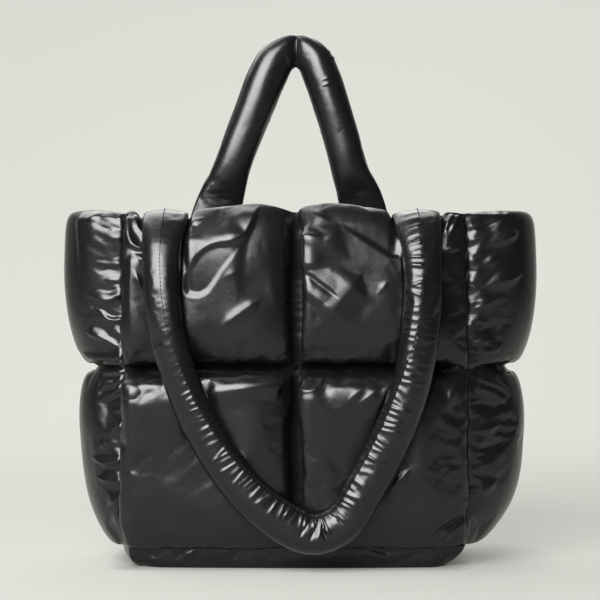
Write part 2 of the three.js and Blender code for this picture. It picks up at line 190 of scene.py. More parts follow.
APEX_CREASE = dict(x=-0.6, above=452, middle=60, width=5, depth=0.62, notch=2.5)

# Where a handle's seam runs round its tube, in degrees from its outward face towards the inside of its loop
FRONT_SEAM = [
    dict(at=0, turn=0),
    dict(at=0.14, turn=-2),
    dict(at=0.26, turn=14),
    dict(at=0.36, turn=36),
    dict(at=0.5, turn=62),
    dict(at=0.64, turn=44),
    dict(at=0.74, turn=34),
    dict(at=0.8, turn=8),
    dict(at=0.9, turn=-4),
    dict(at=1, turn=0),
]
BACK_SEAM = [dict(at=0, turn=0), dict(at=0.5, turn=30), dict(at=1, turn=0)]
# How strong a seam's puckers are on its side towards the inside of the loop and on the other
FRONT_PUCKERS = [
    dict(at=0, inner=0.1, outer=0.1),
    dict(at=0.2, inner=0.1, outer=0.2),
    dict(at=0.3, inner=0.3, outer=0.8),
    dict(at=0.36, inner=0.4, outer=1),
    dict(at=0.5, inner=0.6, outer=1),
    dict(at=0.72, inner=0.35, outer=1),
    dict(at=0.77, inner=0.6, outer=0.7),
    dict(at=0.82, inner=1, outer=0.3),
    dict(at=0.92, inner=1, outer=0.2),
    dict(at=1, inner=0.2, outer=0.2),
]
BACK_PUCKERS = [dict(at=0, inner=0.6, outer=0.6), dict(at=1, inner=0.6, outer=0.6)]

# Folds, as paths of (x, z) seen from the front. A crest rises or sinks by rise, and falls off over the widths
# left and right of its path. It fades in over the share start of its length and out over end, unless sewn.
HANGING_FOLDS = [
    dict(path=[(22, 53), (16, 40), (9, 28)], rise=-2.4, left=2.6, right=2.6),
    dict(path=[(23, 53), (24, 38), (30, 27)], rise=-2.6, left=2.6, right=2.6),
    dict(path=[(21, 46), (28, 40), (33, 34)], rise=1.8, left=2, right=2.4),
    dict(path=[(24, 46), (18, 32), (17, 22)], rise=1.8, left=2.2, right=2),
    dict(path=[(12, 50), (5, 40), (2, 32)], rise=-1.6, left=2.4, right=2.4),
    dict(path=[(34, 58), (38, 50), (44, 44)], rise=-1.6, left=2.4, right=2.4),
]
STANDING_FOLDS = [
    dict(path=[(26, 487), (38, 492), (46, 486)], rise=1.6, left=1.8, right=2.2),
    dict(path=[(28, 482), (40, 484), (47, 478)], rise=1.5, left=1.8, right=2.2),
    dict(path=[(24, 459), (36, 464)], rise=1.4, left=1.8, right=2.4),
    dict(path=[(24, 453), (37, 459)], rise=1.3, left=1.8, right=2.4),
    dict(path=[(-14, 489), (-6, 480), (-4, 470)], rise=1.2, left=2, right=2),
]

FRONT_FOLDS = [
    dict(path=[(-8, 160), (60, 161), (106, 162)], rise=7.5, left=15, right=50, start=0.08, end=0.1),
    dict(path=[(-160, 166), (-84, 165)], rise=8, left=10, right=44, start=0.1, end=0.3),
    dict(path=[(-103, 312), (-104, 280), (-101, 240), (-95, 200)], rise=3.4, left=28, right=5,
         start=0.15, end=0.2),
    dict(path=[(2, 307), (24, 296), (52, 280)], rise=4, left=18, right=10, start=0.15, end=0.5),
    dict(path=[(-106, 297), (-74, 299), (-40, 302)], rise=4.5, left=16, right=52, start=0.2, end=0.3),
    dict(path=[(8, 270), (9, 288), (8, 308)], rise=3.4, left=5, right=18, start=0.2, end=0.2),
    dict(path=[(7, 30), (7.5, 100), (7, 172)], rise=2.4, left=5, right=30, start=0.12, end=0.12),
    dict(path=[(7, 192), (8, 250), (7, 312)], rise=2.4, left=5, right=30, start=0.12, end=0.12),
    dict(path=[(-148, 30), (-149, 100), (-148, 172)], rise=3.4, left=5, right=22, start=0.12, end=0.12),
    dict(path=[(-148, 192), (-149, 240), (-148, 290)], rise=4, left=5, right=18, start=0.12, end=0.12),
    dict(path=[(-33, 332), (-41, 315), (-48, 300), (-60, 296.5), (-74, 295.5), (-92, 285)],
         rise=5, left=3.6, right=22, start=0.2),
    dict(path=[(-102, 310), (-80, 320)], rise=3, left=5, right=3),
    dict(path=[(-101, 304), (-90, 312)], rise=2.4, left=4, right=3),
    dict(path=[(-30, 247), (-70, 219)], rise=2.2, left=5, right=7, start=0.3, end=0.3),
    dict(path=[(-50, 272), (-68, 263)], rise=0.8, left=4, right=5),
    dict(path=[(7, 331), (20, 320), (36, 314)], rise=2.6, left=6, right=9),
    dict(path=[(37, 316), (32, 304), (25, 294)], rise=2, left=9, right=13),
    dict(path=[(30, 318), (62, 302), (97, 281)], rise=-5, left=17, right=3.5, start=0.8, end=0.2),
    dict(path=[(22, 222), (40, 245), (60, 270)], rise=8, left=34, right=16, start=0.3, end=0.3),
    dict(path=[(4, 273), (22, 258), (42, 243)], rise=-2.4, left=2.6, right=4.5, start=0.3, end=0.4),
    dict(path=[(4, 252), (16, 240), (28, 230)], rise=-1.6, left=2.4, right=3.5),
    dict(path=[(72, 248), (84, 264)], rise=1.4, left=4, right=3),
    dict(path=[(-84, 160), (-50, 163), (-16, 170)], rise=3.4, left=9, right=15, start=0.2),
    dict(path=[(-20, 184), (-18, 152)], rise=5, left=12, right=64, start=0.2, end=0.6),
    dict(path=[(-154, 97), (-148, 88), (-139, 81)], rise=0.8, left=3.4, right=3.4),
    dict(path=[(-64, 121), (-46, 96), (-26, 74)], rise=3, left=7, right=7),
    dict(path=[(5.5, 173), (2.6, 166.5), (7.8, 162.7), (15, 162.7), (22, 168.5), (24, 177)],
         rise=2, left=2.2, right=2.2, start=0.1, end=0.1),
    dict(path=[(83, 173), (66, 158), (50, 148)], rise=1.3, left=4, right=4),
    dict(path=[(64, 170), (44, 152)], rise=0.9, left=4, right=4),
    dict(path=[(82, 71), (105, 96)], rise=1.8, left=4, right=5),
    dict(path=[(114, 24), (138, 40), (160, 54)], rise=-5.5, left=3.4, right=7, start=0.35, sewn=True),
    dict(path=[(122, 22), (140, 33), (158, 40)], rise=1.2, left=5, right=5),
    dict(path=[(147, 178), (136, 140)], rise=2.2, left=5, right=5),
    dict(path=[(148, 96), (130, 82)], rise=1.8, left=6, right=6),
    dict(path=[(-152, 324), (-153, 306), (-149, 295), (-142, 291), (-132, 292)], rise=5, left=3, right=3,
         start=0.15, end=0.2),
    dict(path=[(-147, 324), (-146, 312), (-140, 304), (-132, 299)], rise=4.4, left=2.8, right=2.8,
         start=0.15, end=0.2),
    dict(path=[(-142, 322), (-137, 313), (-132, 308)], rise=4, left=2.6, right=2.6, start=0.2, end=0.2),
    dict(path=[(-148, 287), (-140, 283), (-132, 276)], rise=3.4, left=4, right=3),
    dict(path=[(-146, 275), (-142, 262), (-137, 252)], rise=3, left=3, right=3.4),
    dict(path=[(133, 305), (139, 317), (144, 324)], rise=4.4, left=3, right=3, end=0.2),
    dict(path=[(138, 302), (145, 317), (149, 324)], rise=4, left=2.8, right=2.8, end=0.2),
    dict(path=[(132, 291), (143, 291), (152, 295)], rise=3.6, left=3.4, right=3),
]
# A dent sinks what lies inside its outline, from its shallow point to its deep one
FRONT_DENTS = [
    dict(outline=[(-49, 294), (-60, 296), (-74, 295), (-87, 289), (-96, 278), (-103, 263), (-102, 249),
                  (-91, 246), (-80, 249), (-72, 260), (-66, 271), (-57, 283)],
         shallow=(-49, 294), deep=(-98, 248), depth=(0.25, 2.2), edge=(1.2, 8)),
]
LEFT_FOLDS = [
    dict(path=[(-206, 318), (-156, 318)], rise=5, left=8, right=44, start=0.15, sewn=True),
    dict(path=[(-188, 281), (-172, 277), (-157, 278)], rise=1.2, left=4, right=3, sewn=True),
    dict(path=[(-178, 264), (-157, 262)], rise=1.5, left=5, right=3, sewn=True),
    dict(path=[(-196, 252), (-178, 245), (-168, 245), (-156, 252)], rise=4.6, left=8, right=3, sewn=True),
    dict(path=[(-190, 240), (-178, 235), (-174, 228), (-167, 226), (-156, 228)], rise=3, left=2.6, right=3,
         sewn=True),
    dict(path=[(-196, 216), (-177, 210), (-156, 198)], rise=4.4, left=9, right=3, start=0.2, end=0.7),
    dict(path=[(-172, 221), (-156, 211)], rise=1.8, left=5, right=2.5, sewn=True),
    dict(path=[(-203, 198), (-192, 192), (-178, 191), (-156, 194)], rise=4, left=6, right=3, start=0.3,
         sewn=True),
    dict(path=[(-184, 186), (-156, 188)], rise=3, left=4, right=3, sewn=True),
    dict(path=[(-186, 322), (-176, 313), (-164, 316)], rise=-1.2, left=8, right=9, start=0.3, end=0.3),
    dict(path=[(-196, 316), (-184, 321), (-176, 326)], rise=2, left=4, right=4),
    dict(path=[(-182, 304), (-170, 299), (-156, 302)], rise=0.8, left=5, right=3.5, sewn=True),
    dict(path=[(-192, 177), (-174, 178), (-156, 180)], rise=4, left=5, right=3, sewn=True),
    dict(path=[(-186, 160), (-172, 166), (-156, 173)], rise=4.4, left=5, right=3, sewn=True),
    dict(path=[(-188, 150), (-172, 156), (-156, 165)], rise=4.6, left=6, right=3, sewn=True),
    dict(path=[(-172, 127), (-156, 130)], rise=3, left=5, right=3, sewn=True),
    dict(path=[(-180, 118), (-174, 106)], rise=2.4, left=5, right=5),
    dict(path=[(-192, 101), (-174, 93), (-156, 100)], rise=5.6, left=9, right=3, sewn=True),
    dict(path=[(-188, 83), (-170, 77), (-156, 80)], rise=5, left=8, right=3, sewn=True),
    dict(path=[(-176, 56), (-156, 66)], rise=4, left=6, right=3, sewn=True),
    dict(path=[(-170, 38), (-156, 54)], rise=3.6, left=5, right=3, sewn=True),
]
RIGHT_FOLDS = [
    dict(path=[(170, 294), (186, 299), (208, 309)], rise=4.8, left=11, right=6, end=0.3),
    dict(path=[(168, 275), (192, 284)], rise=2, left=8, right=6),
    dict(path=[(168, 256), (186, 261), (212, 270)], rise=4.8, left=12, right=7, end=0.4),
    dict(path=[(160, 235), (190, 249)], rise=4, left=8, right=5),
    dict(path=[(160, 308), (192, 320)], rise=-4.5, left=7, right=7),
    dict(path=[(160, 214), (196, 224)], rise=-3.6, left=6, right=6),
    dict(path=[(176, 193), (190, 207)], rise=3.4, left=5, right=4),
    dict(path=[(158, 205), (182, 209)], rise=2.6, left=4, right=4),
    dict(path=[(160, 197), (184, 199)], rise=2.6, left=4, right=4),
    dict(path=[(160, 174), (186, 168), (206, 152)], rise=3, left=4, right=4, start=0.2),
    dict(path=[(160, 166), (182, 160), (198, 146)], rise=2.6, left=4, right=4, start=0.2),
    dict(path=[(160, 106), (196, 116)], rise=-3.4, left=7, right=7),
    dict(path=[(162, 124), (190, 130)], rise=2.6, left=7, right=6),
    dict(path=[(162, 62), (188, 82)], rise=3, left=8, right=7),
]
BASE_FOLDS = [
    dict(path=[(-118, 4), (-99, 19)], rise=-2.6, left=4, right=4),
    dict(path=[(-98, 4), (-84, 18)], rise=-2.2, left=4, right=4),
    dict(path=[(-108, 4), (-91, 19)], rise=1.6, left=3, right=3),
    dict(path=[(-140, 16), (-126, 8)], rise=-1.6, left=4, right=4),
    dict(path=[(-62, 6), (-50, 18)], rise=-1.8, left=4, right=4),
    dict(path=[(-30, 18), (-18, 6)], rise=-1.6, left=4, right=4),
    dict(path=[(58, 19), (84, 14), (112, 16)], rise=-2, left=3, right=3),
    dict(path=[(96, 4), (116, 18)], rise=-2, left=4, right=4),
    dict(path=[(128, 5), (146, 17)], rise=-2.4, left=5, right=5),
]
BACK_FOLDS = [
    dict(path=[(44, 318), (92, 288)], rise=4.5, left=9, right=12),
    dict(path=[(56, 284), (98, 258)], rise=-3, left=13, right=15),
    dict(path=[(50, 276), (84, 250)], rise=2.2, left=8, right=11),
    dict(path=[(-46, 318), (-94, 286)], rise=4.5, left=9, right=12),
    dict(path=[(-60, 282), (-98, 256)], rise=-3, left=13, right=15),
    dict(path=[(-24, 276), (-58, 262)], rise=2.2, left=9, right=11),
    dict(path=[(20, 152), (62, 124)], rise=2.8, left=6, right=8),
    dict(path=[(-24, 148), (-70, 114)], rise=2.8, left=6, right=8),
    dict(path=[(10, 172), (26, 170)], rise=-4, left=5, right=5),
    dict(path=[(150, 50), (116, 28)], rise=-5, left=6, right=6),
]

# Looks of the fabric and its thread
NYLON = dict(
    specular=0.4, roughness=(0.25, 0.295), dark=(0.003, 0.0023, 0.0026, 1), light=(0.0052, 0.0042, 0.0047, 1),
)
WEAVE = dict(pitch=0.5, depth=0.012, strength=0.35)
CRINKLE = dict(depth=0.5, strength=0.5)
CRINKLE_NOISE = dict(scale=95, detail=4, roughness=0.5)
GLOSS_NOISE = dict(scale=38, detail=3, roughness=0.5)
TINT_NOISE = dict(scale=24, detail=5, roughness=0.6)
NOISE_SPAN = (0.3, 0.7)
THREAD = {"Base Color": (0.006, 0.0055, 0.0058, 1), "Roughness": 0.85, "Specular IOR Level": 0.15}

# Camera and studio
CAMERA_DISTANCE = 1700
CAMERA_AT = (3.3, -CAMERA_DISTANCE, 245)
VIEW_WIDTH = 570
SENSOR_WIDTH = 36
LIGHTS = [
    dict(name="key", place=(-780, -1740, 1300), aim=(0, 0, 250), size=(1750, 1600), power=180),
    dict(name="overhead", place=(-400, 800, 1700), aim=(0, 0, 100), size=(2200, 1600), power=46),
]
ROOM_LIGHT = {"Color": (0.95, 0.95, 0.93, 1), "Strength": 0.05}
BACKDROP = dict(front=-7000, bend=1500, radius=900, height=4000, half_width=7000, bend_points=16)
# The floor is matt and carries a painted glow in its emission colour
FLOOR = {
    "Base Color": (0.128, 0.126, 0.118, 1),
    "Roughness": 0.9,
    "Specular IOR Level": 0,
    "Emission Color": (0.74, 0.74, 0.686, 1),
}
# Painted light: the floor's glow from its front to the backdrop, in place of the many lamps of a studio
FLOOR_GLOW = [
    dict(y=-1000, strength=0.2),
    dict(y=-350, strength=0.54),
    dict(y=300, strength=0.55),
    dict(y=1700, strength=0.77),
]
GLOW_SIDES = dict(full=800, faint=2200, left_over=0.35)
# Painted shadow: rectangles round which that glow is dimmed on the floor, where the bag stands and to its
# right, in place of its contact shadow and its cast shadow
PAINTED_FLOOR_SHADOWS = [
    dict(middle=-6, half_width=140, half_depth=58, reach=30, left_over=0.25),
    dict(middle=40, half_width=100, half_depth=20, reach=110, left_over=0.55),
]


def smoothstep(x, low, high):
    t = np.clip((x - low) / (high - low), 0, 1)
    return t * t * (3 - 2 * t)


def lerp(a, b, t):
    return a + (b - a) * t


def unit(vectors):
    return vectors / np.maximum(np.linalg.norm(vectors, axis=-1, keepdims=True), 1e-12)


def smooth_curve(t, start, start_slope, end, end_slope):
    """The cubic curve between two values with a slope at each, for t from 0 to 1."""
    return (
        (2 * t**3 - 3 * t**2 + 1) * start
        + (t**3 - 2 * t**2 + t) * start_slope
        + (3 * t**2 - 2 * t**3) * end
        + (t**3 - t**2) * end_slope
    )


def table_at(rows, key, at):
    """Smooth values between a table's rows, as a dict of arrays."""
    keys = np.array([row[key] for row in rows], float)
    at = np.clip(np.asarray(at, float), keys[0], keys[-1])
    i = np.clip(np.searchsorted(keys, at, side="right") - 1, 0, len(keys) - 2)
    span = keys[i + 1] - keys[i]
    t = (at - keys[i]) / span
    found = {}
    for name in rows[0]:
        if name == key:
            continue
        values = np.array([row[name] for row in rows], float)
        slopes = np.gradient(values, keys)
        found[name] = smooth_curve(t, values[i], span * slopes[i], values[i + 1], span * slopes[i + 1])
    return found


def route_points(route, count):
    """Evenly spaced points on the smooth curve through a route's points."""
    p = np.array(route, float)
    p = np.concatenate([[2 * p[0] - p[1]], p, [2 * p[-1] - p[-2]]])
    step = np.sqrt(np.linalg.norm(np.diff(p, axis=0), axis=1))
    between = 40
    t = np.linspace(0, 1, between, endpoint=False)[:, None]
    pieces = []
    for i in range(1, len(p) - 2):
        before, here, after = step[i - 1], step[i], step[i + 1]
        out = (p[i] - p[i - 1]) / before - (p[i + 1] - p[i - 1]) / (before + here) + (p[i + 1] - p[i]) / here
        into = (p[i + 1] - p[i]) / here - (p[i + 2] - p[i]) / (here + after) + (p[i + 2] - p[i + 1]) / after
        pieces.append(smooth_curve(t, p[i], out * here, p[i + 1], into * here))
    dense = np.concatenate(pieces + [p[-2:-1]])
    run = np.concatenate([[0], np.cumsum(np.linalg.norm(np.diff(dense, axis=0), axis=1))])
    even = np.linspace(0, run[-1], count)
    return np.stack([np.interp(even, run, dense[:, axis]) for axis in range(3)], -1)


def rounded(path, closed=False):
    """A path with its corners cut round."""
    path = np.array(path, float)
    for _ in range(CORNER_CUTS):
        after = np.roll(path, -1, axis=0) if closed else path[1:]
        before = path if closed else path[:-1]
        cut = np.stack([lerp(before, after, 0.25), lerp(before, after, 0.75)], 1).reshape(-1, 2)
        path = cut if closed else np.concatenate([path[:1], cut[1:-1], path[-1:]])
    return np.concatenate([path, path[:1]]) if closed else path


def path_distance(points, path):
    """Signed distance of flat points to a path, positive on its left, and the share of its length there."""
    path = np.array(path, float)
    lengths = np.linalg.norm(np.diff(path, axis=0), axis=1)
    run = np.concatenate([[0], np.cumsum(lengths)])
    best = np.full(points.shape[:-1], np.inf)
    signed = np.zeros_like(best)
    share = np.zeros_like(best)
    for i, (a, b) in enumerate(zip(path[:-1], path[1:])):
        along = b - a
        t = np.clip(((points - a) @ along) / (along @ along), 0, 1)
        away = points - (a + t[..., None] * along)
        distance = np.linalg.norm(away, axis=-1)
        side = np.sign(along[0] * away[..., 1] - along[1] * away[..., 0])
        nearer = distance < best
        best = np.where(nearer, distance, best)
        signed = np.where(nearer, distance * np.where(side == 0, 1, side), signed)
        share = np.where(nearer, (run[i] + t * lengths[i]) / run[-1], share)
    return signed, share


def bell(distance, width):
    """One at no distance, and next to nothing beyond two widths."""
    return np.exp(-((distance / width) ** 2))


def pillow(t, profile):
    """How far a puff stands out at a share of its side: nothing at its seams, one at its peak."""
    early = t < profile["peak"]
    from_peak = np.where(early, 1 - t / profile["peak"], (t - profile["peak"]) / (1 - profile["peak"]))
    power = np.where(early, profile["before"], profile["after"])
    return (1 - np.clip(from_peak, 0, 1) ** power) ** profile.get("slope", PILLOW_SLOPE)


FRONT_FLAT = [(x, z) for x, y, z in FRONT_ROUTE]
FRONT_ENDS = (FRONT_ROUTE[0][0], FRONT_ROUTE[-1][0])
BACK_ENDS = (BACK_ROUTE[0][0], BACK_ROUTE[-1][0])


def front_press(across, height):
    """The share of a puff that is left under the hanging handle."""
    press = HANDLE_PRESS
    rim = smoothstep(height, RIM_HEIGHT - press["rim_zone"], RIM_HEIGHT)
    distance = path_distance(np.stack([across, height], -1), FRONT_FLAT)[0]
    near = bell(distance, lerp(press["width"], press["rim_width"], rim))
    return 1 - near * lerp(press["on_puffs"], press["at_rim"], rim)


def back_press(across, height):
    """The share of a puff that is left at the ends of the standing handle."""
    near = np.max([bell(-across - x, BACK_PRESS["width"]) for x in BACK_ENDS], axis=0)
    rim = smoothstep(height, RIM_HEIGHT - BACK_PRESS["rim_zone"], RIM_HEIGHT)
    return 1 - near * BACK_PRESS["at_rim"] * rim


def no_press(across, height):
    return np.ones_like(across)


def front_rim(across):
    """The rim's height, lower under the hanging handle's ends."""
    beyond = [np.abs(across - x) - RIM_DIP["flat_half_width"] for x in FRONT_ENDS]
    dips = [RIM_DIP["depth"] * (1 - smoothstep(away, 0, RIM_DIP["fade"])) for away in beyond]
    swell = RIM_SWELL["height"] * bell(np.abs(across) - RIM_SWELL["at"], RIM_SWELL["width"])
    return RIM_HEIGHT - np.max(dips, axis=0) + swell


def gusset_rim(across):
    from_middle = across / BODY_SECTIONS[-1]["half_width"]
    return RIM_HEIGHT + GUSSET_RIM["rise"] * (1 - from_middle ** GUSSET_RIM["power"])


def level_rim(across):
    return np.full_like(across, RIM_HEIGHT)


PANEL = dict(
    columns=2, steps=PANEL_STEPS, fabric=PANEL_FABRIC, free=PANEL_FREE, puff=dict(lower=26, upper=28),
    top=PANEL_TOP_PUFF, low=PANEL_LOW_PUFF, column=PANEL_COLUMN, lift=PANEL_LIFT, droop=PANEL_DROOP,
    bow=lambda body: PANEL_BOW,
)
GUSSET = dict(
    columns=1, steps=GUSSET_STEPS, fabric=GUSSET_FABRIC, free=GUSSET_FREE, top=GUSSET_TOP_PUFF,
    low=GUSSET_LOW_PUFF, column=GUSSET_ACROSS, lift=GUSSET_LIFT, droop=GUSSET_DROOP,
    press=no_press, rim=gusset_rim,
)
# In order round the bag, each from the corner on its left to the corner on its right seen from outside
WALLS = [
    dict(PANEL, name="front_quilt", node="front_panel", corners=((-1, -1), (1, -1)),
         press=front_press, rim=front_rim, folds=FRONT_FOLDS),
    dict(GUSSET, name="right_side_puffs", node="right_gusset", corners=((1, -1), (1, 1)),
         puff=dict(lower=17, upper=32), bow=lambda body: body["right_bow"], folds=RIGHT_FOLDS,
         seed=21),
    dict(PANEL, name="back_quilt", node="back_panel", corners=((1, 1), (-1, 1)),
         press=back_press, rim=level_rim, folds=BACK_FOLDS),
    dict(GUSSET, name="left_side_puffs", node="left_gusset", corners=((-1, 1), (-1, -1)),
         puff=dict(lower=18, upper=31), bow=lambda body: body["left_bow"], folds=LEFT_FOLDS,
         seed=31),
]


def wall_line(wall, share, height):
    """Points of a wall's sewn surface seen from above, its facing there and its width."""
    body = table_at(BODY_SECTIONS, "height", height)
    start, end = (
        np.stack([sign_x * body["half_width"], sign_y * body["half_depth"]], -1)
        for sign_x, sign_y in wall["corners"]
    )
    chord = end - start
    width = np.linalg.norm(chord, axis=-1)
    out = np.stack([chord[..., 1], -chord[..., 0]], -1) / width[..., None]
    bow = wall["bow"](body)
    point = start + chord * share[..., None] + out * (bow * (1 - (2 * share - 1) ** 2))[..., None]
    tangent = chord + out * (bow * (4 - 8 * share))[..., None]
    facing = unit(np.stack([tangent[..., 1], -tangent[..., 0]], -1))
    return point, facing, width


def corner_facing(wall, at_end, height):
    """The direction that both walls share at a corner seam."""
    index = [other["name"] for other in WALLS].index(wall["name"])
    own_share, other_share = (1, 0) if at_end else (0, 1)
    other = WALLS[(index + (1 if at_end else -1)) % len(WALLS)]
    own_facing = wall_line(wall, np.full_like(height, own_share), height)[1]
    other_facing = wall_line(other, np.full_like(height, other_share), height)[1]
    return unit(own_facing + other_facing)


def ripple(place, phase):
    """An uneven wave of height one, for a seam that isn't drawn with a ruler."""
    return sum(np.sin(place / wave["length"] + wave["phase"] * phase) for wave in RIPPLES) / len(RIPPLES)


def lean_angle(lean, v):
    """How far a puff leans up or down near the rim or the base."""
    share = np.clip((v - lean["start"]) / (lean["end"] - lean["start"]), 0, 1)
    return math.radians(lean["angle"]) * smoothstep(share, 0, 1)


def wall_points(wall, u, v, outside, puff_share=1.0):
    """Points of a wall's outer or inner face; u counts its columns and v its rows, both in puffs."""
    share = u / wall["columns"]
    level = (share - 0.5) * 2 * BODY_SECTIONS[-1]["half_width"]
    upper = v > 1
    lower_height = lerp(BASE_HEIGHT + SEAM_GAP, ROW_SEAM_HEIGHT, v)
    height = np.where(upper, lerp(ROW_SEAM_HEIGHT, wall["rim"](level), v - 1), lower_height)
    point, facing, width = wall_line(wall, share, height)
    across = (share - 0.5) * width
    from_seam = width / 2 - np.abs(across)
    at_end = share > 0.5
    start_corner = corner_facing(wall, False, height)
    corner = np.where(at_end[..., None], corner_facing(wall, True, height), start_corner)
    turn = 1 - smoothstep(from_seam, 0, CORNER_BLEND)
    facing = unit(lerp(facing, corner, turn[..., None]))
    inward = np.stack([-corner[..., 1], corner[..., 0]], -1) * np.where(at_end, -1, 1)[..., None]
    on_corner = (u == 0) | (u == wall["columns"])
    point = point + inward * np.where(on_corner, SEAM_GAP / 2, 0)[..., None]
    along = np.stack([-corner[..., 1], corner[..., 0]], -1)
    sway = ripple(height, SEAM_WAVE["side_phase"]) * SEAM_WAVE["side"] * turn
    swell = ripple(height, SEAM_WAVE["out_phase"]) * SEAM_WAVE["out"] * turn
    point = point + along * sway[..., None] + corner * swell[..., None]
    row_wave = ripple(point[..., 0] + point[..., 1], SEAM_WAVE["row_phase"]) * SEAM_WAVE["row"]
    height = height + row_wave * bell(v - 1, SEAM_WAVE["row_width"])

    column = pillow(u - np.minimum(np.floor(u), wall["columns"] - 1), wall["column"])
    row = np.where(upper, pillow(np.clip(v - 1, 0, 1), wall["top"]), pillow(np.clip(v, 0, 1), wall["low"]))
    sewn = column * row
    if not outside:
        depth = -(EDGE_THICKNESS / 2 + INNER_PAD * pillow(share, EVEN_PUFF) * pillow(v / ROWS, EVEN_PUFF))
        if wall["columns"] == 1:
            point = point - (inward + corner) * np.where(on_corner, SEAM_LIP, 0)[..., None]
        return np.concatenate([point + facing * depth[..., None], height[..., None]], -1)
    puff = np.where(upper, wall["puff"]["upper"], wall["puff"]["lower"])
    rise = puff_share * puff * sewn * wall["press"](across, height)
    lean = np.where(upper, lean_angle(wall["lift"], v), lean_angle(wall["droop"], v))
    out = EDGE_THICKNESS / 2 + rise * np.cos(lean)
    return np.concatenate([point + facing * out[..., None], (height + rise * np.sin(lean))[..., None]], -1)


def grid_quads(rows, columns, wrap=False):
    """Quads of a grid of points, row after row; wrap joins the last column to the first."""
    i = np.arange(columns if wrap else columns - 1)
    jj, ii = np.meshgrid(np.arange(rows - 1), i, indexing="ij")
    here = jj * columns
    above = here + columns
    after = (ii + 1) % columns
    return np.stack([here + ii, here + after, above + after, above + ii], -1).reshape(-1, 4)


def new_object(name, points, faces):
    mesh = bpy.data.meshes.new(name)
    mesh.from_pydata((np.asarray(points) * MM).tolist(), [], [list(map(int, face)) for face in faces])
    mesh.update()
    obj = bpy.data.objects.new(name, mesh)
    bpy.context.scene.collection.objects.link(obj)
    return obj


def mark_cut(obj, across, along):
    """Keeps each point's place on the cut fabric, which the weave follows."""
    flat = np.stack([np.ravel(across), np.ravel(along), np.zeros(np.size(across))], -1) * MM
    cut = obj.data.attributes.new("cut", "FLOAT_VECTOR", "POINT")
    cut.data.foreach_set("vector", flat.astype(np.float32).ravel())


def mark_seams(obj, on_seam):
    """Keeps the shading of the two sides of a seam apart."""
    ends = np.empty(len(obj.data.edges) * 2, np.int32)
    obj.data.edges.foreach_get("vertices", ends)
    sharp = obj.data.attributes.new("sharp_edge", "BOOLEAN", "EDGE")
    sharp.data.foreach_set("value", on_seam[ends.reshape(-1, 2)].all(1))


def settled_points(obj):
    """Where the simulation has brought an object's points."""
    evaluated = obj.evaluated_get(bpy.context.evaluated_depsgraph_get()).to_mesh()
    points = np.empty(len(evaluated.vertices) * 3, np.float32)
    evaluated.vertices.foreach_get("co", points)
    return points.reshape(-1, 3).astype(float) / MM


def weight_group(obj, name, weights):
    group = obj.vertex_groups.new(name=name)
    for index in np.nonzero(weights > LEAST_WEIGHT)[0]:
        group.add([int(index)], float(weights[index]), "REPLACE")


def add_cloth(obj, pin, ruche, fabric):
    """Fabric that is held where pin is 1, has spare length and is pushed out by its filling."""
    weight_group(obj, "pin", pin)
    weight_group(obj, "ruche", ruche)
    cloth = obj.modifiers.new("fabric", "CLOTH")
    settings = cloth.settings
    for name, value in CLOTH.items():
        setattr(settings, name, value)
    settings.bending_stiffness = fabric["bending"]
    settings.vertex_group_mass = "pin"
    settings.vertex_group_shrink = "ruche"
    settings.shrink_min = -fabric["spare"]
    settings.shrink_max = -fabric["gathered"]
    settings.uniform_pressure_force = fabric["pressure"]
    settings.effector_weights.gravity = 0
    cloth.collision_settings.use_collision = False
    cloth.point_cache.frame_start = 1
    cloth.point_cache.frame_end = SIM_FRAMES


def run_cloth():
    scene = bpy.context.scene
    scene.frame_start = 1
    scene.frame_end = SIM_FRAMES
    for number in range(1, SIM_FRAMES + 1):
        scene.frame_set(number)


def wall_grid(wall):
    across, up = wall["steps"]
    return np.meshgrid(np.linspace(0, wall["columns"], across + 1), np.linspace(0, ROWS, up + 1))


def start_wall(wall):
    """The outer fabric of a wall, held at its seams and gathered towards its corners."""
    u, v = wall_grid(wall)
    points = wall_points(wall, u, v, True, START_PUFF)
    obj = new_object(wall["name"] + "_fabric", points.reshape(-1, 3), grid_quads(*u.shape))
    seam = ((u == np.round(u)) | (v == np.round(v))).ravel() * 1.0
    gusset = wall["columns"] == 1
    width = 2 * BODY_SECTIONS[0]["half_depth" if gusset else "half_width"]
    from_corner = np.minimum(u, wall["columns"] - u) / wall["columns"] * width
    gather = GUSSET_GATHER if gusset else PANEL_GATHER
    ruche = 1 - smoothstep(from_corner, gather["near"], gather["far"])
    if not gusset:
        ruche = ruche * smoothstep(v, *gather["rows"])
    add_cloth(obj, seam, ruche.ravel(), wall["fabric"])
    return obj


def fold_points(points, normals, free, folds, front):
    """Adds folds to the points on the front half or the back half, or to all where front is None."""
    flat = points[..., [0, 2]]
    shown = 1 if front is None else (points[..., 1] < 0) == front
    move = np.zeros(points.shape[:-1])
    for fold in folds:
        signed, share = path_distance(flat, rounded(fold["path"]))
        fade = smoothstep(share, 0, fold.get("start", FOLD_FADE))
        if not fold.get("sewn"):
            fade = fade * smoothstep(1 - share, 0, fold.get("end", FOLD_FADE))
        width = np.where(signed > 0, fold["left"], fold["right"]) * np.maximum(fade, 1e-3)
        ramp = 1 - np.sqrt((signed / width) ** 2 + FOLD_ROUNDING**2)
        crest = (ramp + np.sqrt(ramp**2 + FOLD_ROUNDING**2)) / 2
        move += fold["rise"] * crest * fade
    return points + normals * (move * shown * free)[..., None]


def grid_normals(points):
    across = np.gradient(points, axis=1)
    up = np.gradient(points, axis=0)
    return unit(np.cross(across, up))


